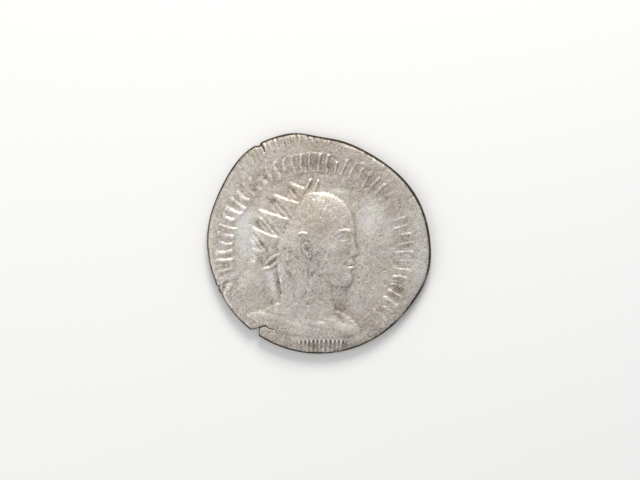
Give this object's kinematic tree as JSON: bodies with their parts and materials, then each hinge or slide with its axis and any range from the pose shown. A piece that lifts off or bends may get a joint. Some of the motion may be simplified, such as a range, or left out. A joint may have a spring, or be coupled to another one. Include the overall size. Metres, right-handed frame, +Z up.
{
  "type": "radiate silver coin",
  "caption": "Worn ancient silver coin lying on its reverse: a draped, ray-crowned bust facing right, ringed by strokes, on an uneven struck flan.",
  "frame": {"origin": "middle of the flan's outline, on the plane that the reverse lies on", "axes": "+Z up out of the obverse, +X towards the side that the bust faces, +Y towards the crown of the head"},
  "size_m": [0.023, 0.0226, 0.0017],
  "materials": {
    "silver": "old debased silver, worn and dull, with a warm grey tone and darker recesses"
  },
  "bodies": {
    "root": {"coin": "silver"}
  },
  "joints": []
}
